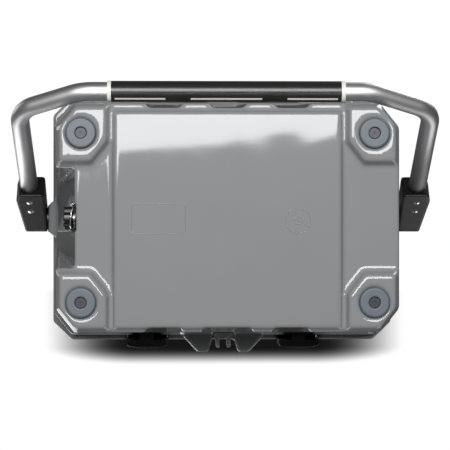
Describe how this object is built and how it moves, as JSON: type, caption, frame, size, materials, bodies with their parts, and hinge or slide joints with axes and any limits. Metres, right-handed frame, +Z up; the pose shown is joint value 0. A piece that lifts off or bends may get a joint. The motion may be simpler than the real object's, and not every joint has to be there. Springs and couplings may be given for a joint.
{
  "type": "hard cooler",
  "caption": "Hard-walled insulated cooler with a hinged lid, press-and-pull latches, a swinging tube bail handle, screwed-on rubber feet, a lock hasp and a screw drain plug.",
  "frame": {"origin": "middle of the bounding box, on the ground plane under the feet", "axes": "+Z up; -Y towards the front with the latches and the lock hasp; +Y towards the hinge; +X to the right as seen from the front, the side with the drain"},
  "size_m": [0.5926, 0.3784, 0.393],
  "materials": {
    "grey_shell": "glossy mid-grey moulded plastic with soft rounded edges",
    "white_liner": "smooth off-white food-grade plastic",
    "foam": "rigid poured insulation foam, hidden in use",
    "black_rubber": "soft black seal rubber",
    "grey_rubber": "bluish-grey foot rubber, fine matt",
    "black_plastic": "satin black glass-filled plastic",
    "dark_grey_plastic": "satin dark-grey plastic",
    "black_grip": "satin black grip sleeve",
    "pale_trim": "off-white satin trim",
    "handle_tube": "satin anodised tube",
    "steel": "bright stainless steel",
    "steel_wire": "pale coated steel wire",
    "brass_insert": "moulded-in threaded insert"
  },
  "bodies": {
    "tub": {"tub_shell": "grey_shell", "tub_foam": "foam", "tub_liner": "white_liner", "hinge_rod": "steel", "hinge_end_caps": "black_plastic", "foot_front_right": "grey_rubber", "foot_front_left": "grey_rubber", "foot_rear_right": "grey_rubber", "foot_rear_left": "grey_rubber", "foot_screws": "steel", "latch_keeper_right": "steel", "latch_keeper_left": "steel", "pivot_hub_right": "black_plastic", "pivot_hub_left": "black_plastic", "pivot_bolt_right": "steel", "pivot_bolt_left": "steel", "pivot_insert_right": "brass_insert", "pivot_insert_left": "brass_insert", "drain_bushing": "dark_grey_plastic", "drain_gasket": "black_rubber", "drain_nut": "white_liner", "drain_tether": "steel_wire", "tether_anchor": "steel"},
    "lid": {"lid_shell": "grey_shell", "lid_foam": "foam", "lid_liner": "white_liner", "lid_gasket": "black_rubber", "latch_pin_right": "steel", "latch_pin_left": "steel", "lock_plate": "steel", "lock_plate_screws": "steel"},
    "latch_arm_right": {"latch_right": "black_plastic", "latch_spring_right": "steel"},
    "latch_arm_left": {"latch_left": "black_plastic", "latch_spring_left": "steel"},
    "button_right": {"latch_button_right": "dark_grey_plastic"},
    "button_left": {"latch_button_left": "dark_grey_plastic"},
    "bail": {"bail_tube": "handle_tube", "bail_grip": "black_grip", "grip_collar_right": "pale_trim", "grip_collar_left": "pale_trim", "grip_inlays": "pale_trim", "bail_bracket_right": "black_plastic", "bail_bracket_left": "black_plastic", "bracket_rivets_right": "steel", "bracket_rivets_left": "steel"},
    "plug_seal": {"drain_plug_seal": "black_rubber"},
    "plug": {"drain_plug": "black_plastic"}
  },
  "joints": [
    {"name": "lid_hinge", "type": "hinge", "parent": "tub", "child": "lid", "pos_m": [0, 0.1743, 0.336], "axis": [-1, 0, 0], "range_deg": [0, 100]},
    {"name": "latch_pivot_right", "type": "hinge", "parent": "lid", "child": "latch_arm_right", "pos_m": [0.111, -0.1677, 0.36], "axis": [-1, 0, 0], "range_deg": [0, 95]},
    {"name": "latch_pivot_left", "type": "hinge", "parent": "lid", "child": "latch_arm_left", "pos_m": [-0.111, -0.1677, 0.36], "axis": [-1, 0, 0], "range_deg": [0, 95]},
    {"name": "button_press_right", "type": "slide", "parent": "latch_arm_right", "child": "button_right", "axis": [0, 1, 0], "range_m": [0, 0.003], "stiffness_N_per_m": 400, "springref_m": -0.002, "deforming": ["latch_spring_right"]},
    {"name": "button_press_left", "type": "slide", "parent": "latch_arm_left", "child": "button_left", "axis": [0, 1, 0], "range_m": [0, 0.003], "stiffness_N_per_m": 400, "springref_m": -0.002, "deforming": ["latch_spring_left"]},
    {"name": "bail_swing", "type": "hinge", "parent": "tub", "child": "bail", "pos_m": [0, 0.0043, 0.3], "axis": [1, 0, 0], "range_deg": [0, 282]},
    {"name": "plug_travel", "type": "slide", "parent": "tub", "child": "plug_seal", "axis": [1, 0, 0], "range_m": [0, 0.012]},
    {"name": "plug_turn", "type": "hinge", "parent": "plug_seal", "child": "plug", "pos_m": [0.2, 0.0043, 0.066], "axis": [1, 0, 0], "range_deg": [0, 1080]}
  ],
  "couplings": [
    {"joint": "plug_travel", "follows": "plug_turn", "m_per_rad": 0.00063662}
  ]
}
